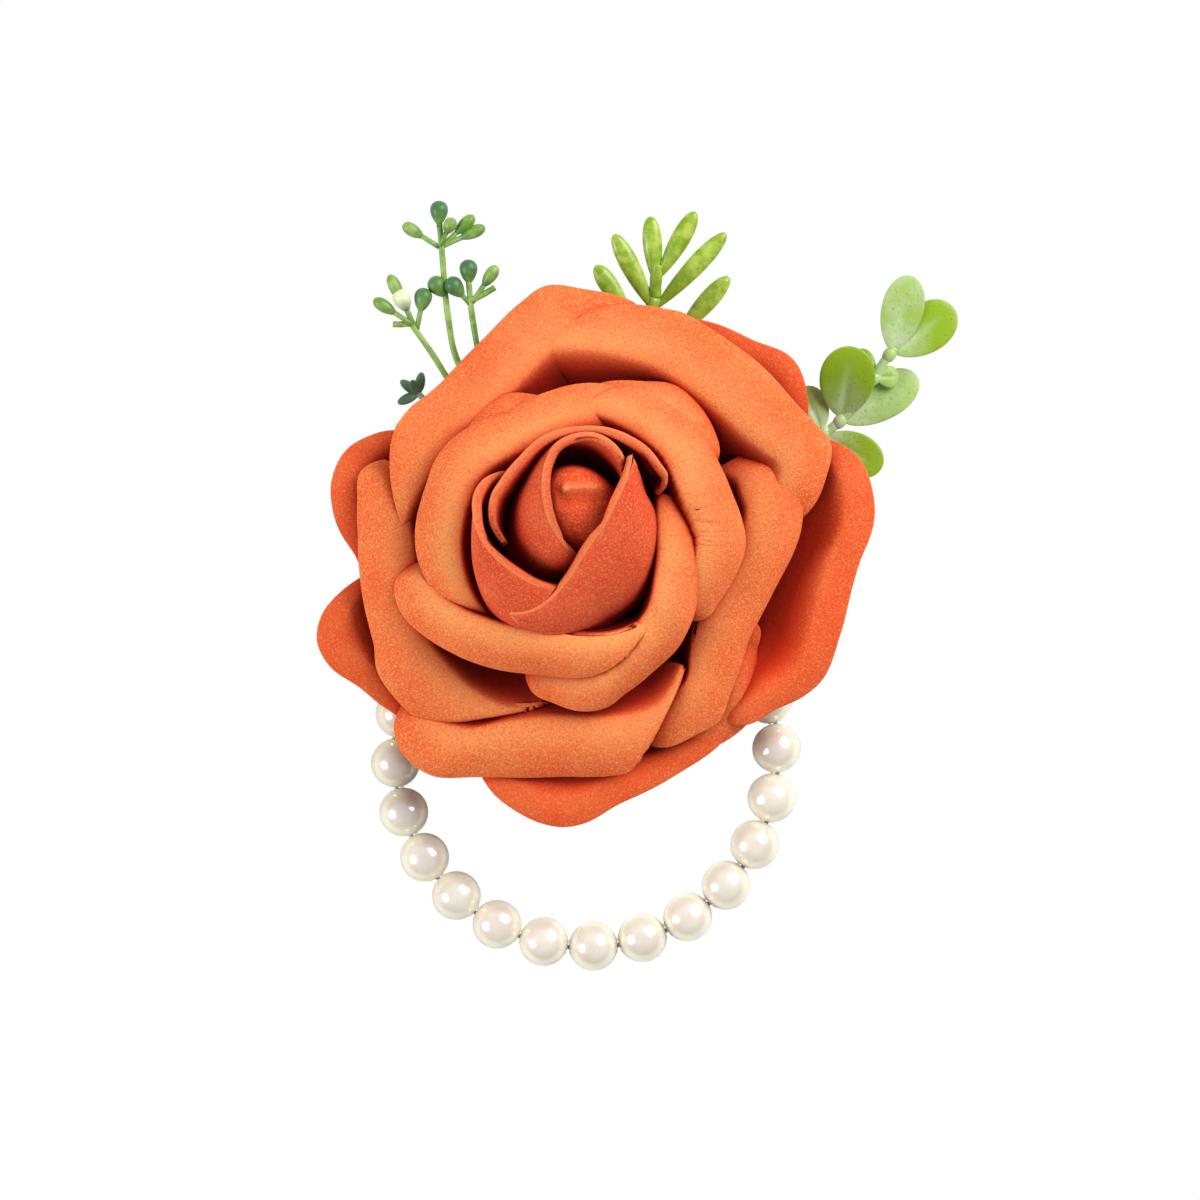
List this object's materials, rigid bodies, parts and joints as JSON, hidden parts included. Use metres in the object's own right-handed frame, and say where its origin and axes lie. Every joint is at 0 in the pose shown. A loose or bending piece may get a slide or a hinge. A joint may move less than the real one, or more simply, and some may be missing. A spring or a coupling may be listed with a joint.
{
  "type": "wrist corsage",
  "caption": "Wrist corsage: a coral foam rose with green sprigs on a felt base, held by a stretch bracelet of imitation pearls.",
  "frame": {"origin": "middle of the felt back, on the face that rests on the wrist", "axes": "+Z out of the rose's face, -Y from the rose towards the bracelet laid flat, +X to the right seen from the front"},
  "size_m": [0.1022, 0.1227, 0.0443],
  "materials": {
    "petal_foam": "matte coral foam sheet, fine grained",
    "bud_foam": "matte foam sheet, deeper red",
    "pearl": "pearlescent ivory",
    "elastic_cord": "clear, slightly milky",
    "felt": "cream felt",
    "hot_glue": "milky and smooth",
    "calyx_plastic": "satin green",
    "berry_plastic": "satin green",
    "tuft_plastic": "dark green, matte",
    "finger_plastic": "glossy yellow green",
    "jade_plastic": "frosted pale green"
  },
  "bodies": {
    "rose": {"felt_back": "felt", "glue_pad": "hot_glue", "elastic_in_glue": "elastic_cord", "base_felt": "felt", "calyx": "calyx_plastic", "bud_core": "bud_foam", "inner_petal_1": "bud_foam", "inner_petal_2": "bud_foam", "inner_petal_3": "bud_foam", "inner_petal_4": "bud_foam", "middle_petal_1": "petal_foam", "middle_petal_2": "petal_foam", "middle_petal_3": "petal_foam", "middle_petal_4": "petal_foam", "middle_petal_5": "petal_foam", "middle_petal_6": "petal_foam", "outer_petal_1": "petal_foam", "outer_petal_2": "petal_foam", "outer_petal_3": "petal_foam", "outer_petal_4": "petal_foam", "outer_petal_5": "petal_foam", "outer_petal_6": "petal_foam", "back_petal_1": "petal_foam", "back_petal_2": "petal_foam", "back_petal_3": "petal_foam", "back_petal_4": "petal_foam", "back_petal_5": "petal_foam", "back_petal_6": "petal_foam", "berry_sprig": "berry_plastic", "leaf_tuft": "tuft_plastic", "finger_sprig": "finger_plastic", "jade_stem": "jade_plastic", "jade_leaves_top": "jade_plastic", "jade_leaves_upper": "jade_plastic", "jade_leaves_middle": "jade_plastic", "jade_leaves_lower": "jade_plastic"},
    "loop": {"elastic_loop": "elastic_cord"},
    "pearl_01": {"pearl_01": "pearl"},
    "pearl_02": {"pearl_02": "pearl"},
    "pearl_03": {"pearl_03": "pearl"},
    "pearl_04": {"pearl_04": "pearl"},
    "pearl_05": {"pearl_05": "pearl"},
    "pearl_06": {"pearl_06": "pearl"},
    "pearl_07": {"pearl_07": "pearl"},
    "pearl_08": {"pearl_08": "pearl"},
    "pearl_09": {"pearl_09": "pearl"},
    "pearl_10": {"pearl_10": "pearl"},
    "pearl_11": {"pearl_11": "pearl"},
    "pearl_12": {"pearl_12": "pearl"},
    "pearl_13": {"pearl_13": "pearl"},
    "pearl_14": {"pearl_14": "pearl"},
    "pearl_15": {"pearl_15": "pearl"},
    "pearl_16": {"pearl_16": "pearl"},
    "pearl_17": {"pearl_17": "pearl"},
    "pearl_18": {"pearl_18": "pearl"},
    "pearl_19": {"pearl_19": "pearl"},
    "pearl_20": {"pearl_20": "pearl"},
    "pearl_21": {"pearl_21": "pearl"}
  },
  "joints": [
    {"name": "bracelet_swing", "type": "hinge", "parent": "rose", "child": "loop", "pos_m": [0, 0, 0.004], "axis": [1, 0, 0], "range_deg": [0, 180]},
    {"name": "bracelet_stretch", "type": "slide", "parent": "loop", "child": "pearl_11", "axis": [0.0192, -0.9998, 0], "range_m": [0, 0.01525], "stiffness_N_per_m": 250, "deforming": ["elastic_loop"]},
    {"name": "pearl_01_slide", "type": "slide", "parent": "loop", "child": "pearl_01", "axis": [-0.9608, -0.2773, 0], "range_m": [0, 0.00433]},
    {"name": "pearl_02_slide", "type": "slide", "parent": "loop", "child": "pearl_02", "axis": [-0.9164, -0.4004, 0], "range_m": [0, 0.00621]},
    {"name": "pearl_03_slide", "type": "slide", "parent": "loop", "child": "pearl_03", "axis": [-0.8563, -0.5165, 0], "range_m": [0, 0.00798]},
    {"name": "pearl_04_slide", "type": "slide", "parent": "loop", "child": "pearl_04", "axis": [-0.7815, -0.6239, 0], "range_m": [0, 0.00962]},
    {"name": "pearl_05_slide", "type": "slide", "parent": "loop", "child": "pearl_05", "axis": [-0.6934, -0.7206, 0], "range_m": [0, 0.01109]},
    {"name": "pearl_06_slide", "type": "slide", "parent": "loop", "child": "pearl_06", "axis": [-0.5934, -0.8049, 0], "range_m": [0, 0.01238]},
    {"name": "pearl_07_slide", "type": "slide", "parent": "loop", "child": "pearl_07", "axis": [-0.4833, -0.8755, 0], "range_m": [0, 0.01346]},
    {"name": "pearl_08_slide", "type": "slide", "parent": "loop", "child": "pearl_08", "axis": [-0.3649, -0.9311, 0], "range_m": [0, 0.01431]},
    {"name": "pearl_09_slide", "type": "slide", "parent": "loop", "child": "pearl_09", "axis": [-0.2402, -0.9707, 0], "range_m": [0, 0.01491]},
    {"name": "pearl_10_slide", "type": "slide", "parent": "loop", "child": "pearl_10", "axis": [-0.1115, -0.9938, 0], "range_m": [0, 0.01526]},
    {"name": "pearl_12_slide", "type": "slide", "parent": "loop", "child": "pearl_12", "axis": [0.1495, -0.9888, 0], "range_m": [0, 0.01519]},
    {"name": "pearl_13_slide", "type": "slide", "parent": "loop", "child": "pearl_13", "axis": [0.2773, -0.9608, 0], "range_m": [0, 0.01476]},
    {"name": "pearl_14_slide", "type": "slide", "parent": "loop", "child": "pearl_14", "axis": [0.4004, -0.9164, 0], "range_m": [0, 0.01408]},
    {"name": "pearl_15_slide", "type": "slide", "parent": "loop", "child": "pearl_15", "axis": [0.5165, -0.8563, 0], "range_m": [0, 0.01317]},
    {"name": "pearl_16_slide", "type": "slide", "parent": "loop", "child": "pearl_16", "axis": [0.6239, -0.7815, 0], "range_m": [0, 0.01203]},
    {"name": "pearl_17_slide", "type": "slide", "parent": "loop", "child": "pearl_17", "axis": [0.7206, -0.6934, 0], "range_m": [0, 0.01068]},
    {"name": "pearl_18_slide", "type": "slide", "parent": "loop", "child": "pearl_18", "axis": [0.8049, -0.5934, 0], "range_m": [0, 0.00916]},
    {"name": "pearl_19_slide", "type": "slide", "parent": "loop", "child": "pearl_19", "axis": [0.8755, -0.4833, 0], "range_m": [0, 0.00748]},
    {"name": "pearl_20_slide", "type": "slide", "parent": "loop", "child": "pearl_20", "axis": [0.9311, -0.3649, 0], "range_m": [0, 0.00567]},
    {"name": "pearl_21_slide", "type": "slide", "parent": "loop", "child": "pearl_21", "axis": [0.9707, -0.2402, 0], "range_m": [0, 0.00377]}
  ],
  "couplings": [
    {"joint": "pearl_01_slide", "follows": "bracelet_stretch", "ratio": 0.27737},
    {"joint": "pearl_02_slide", "follows": "bracelet_stretch", "ratio": 0.40042},
    {"joint": "pearl_03_slide", "follows": "bracelet_stretch", "ratio": 0.51663},
    {"joint": "pearl_04_slide", "follows": "bracelet_stretch", "ratio": 0.62399},
    {"joint": "pearl_05_slide", "follows": "bracelet_stretch", "ratio": 0.72068},
    {"joint": "pearl_06_slide", "follows": "bracelet_stretch", "ratio": 0.80504},
    {"joint": "pearl_07_slide", "follows": "bracelet_stretch", "ratio": 0.87563},
    {"joint": "pearl_08_slide", "follows": "bracelet_stretch", "ratio": 0.93123},
    {"joint": "pearl_09_slide", "follows": "bracelet_stretch", "ratio": 0.9709},
    {"joint": "pearl_10_slide", "follows": "bracelet_stretch", "ratio": 0.99395},
    {"joint": "pearl_12_slide", "follows": "bracelet_stretch", "ratio": 0.98894},
    {"joint": "pearl_13_slide", "follows": "bracelet_stretch", "ratio": 0.96096},
    {"joint": "pearl_14_slide", "follows": "bracelet_stretch", "ratio": 0.91653},
    {"joint": "pearl_15_slide", "follows": "bracelet_stretch", "ratio": 0.85642},
    {"joint": "pearl_16_slide", "follows": "bracelet_stretch", "ratio": 0.78166},
    {"joint": "pearl_17_slide", "follows": "bracelet_stretch", "ratio": 0.69353},
    {"joint": "pearl_18_slide", "follows": "bracelet_stretch", "ratio": 0.59353},
    {"joint": "pearl_19_slide", "follows": "bracelet_stretch", "ratio": 0.48337},
    {"joint": "pearl_20_slide", "follows": "bracelet_stretch", "ratio": 0.36494},
    {"joint": "pearl_21_slide", "follows": "bracelet_stretch", "ratio": 0.24027}
  ]
}
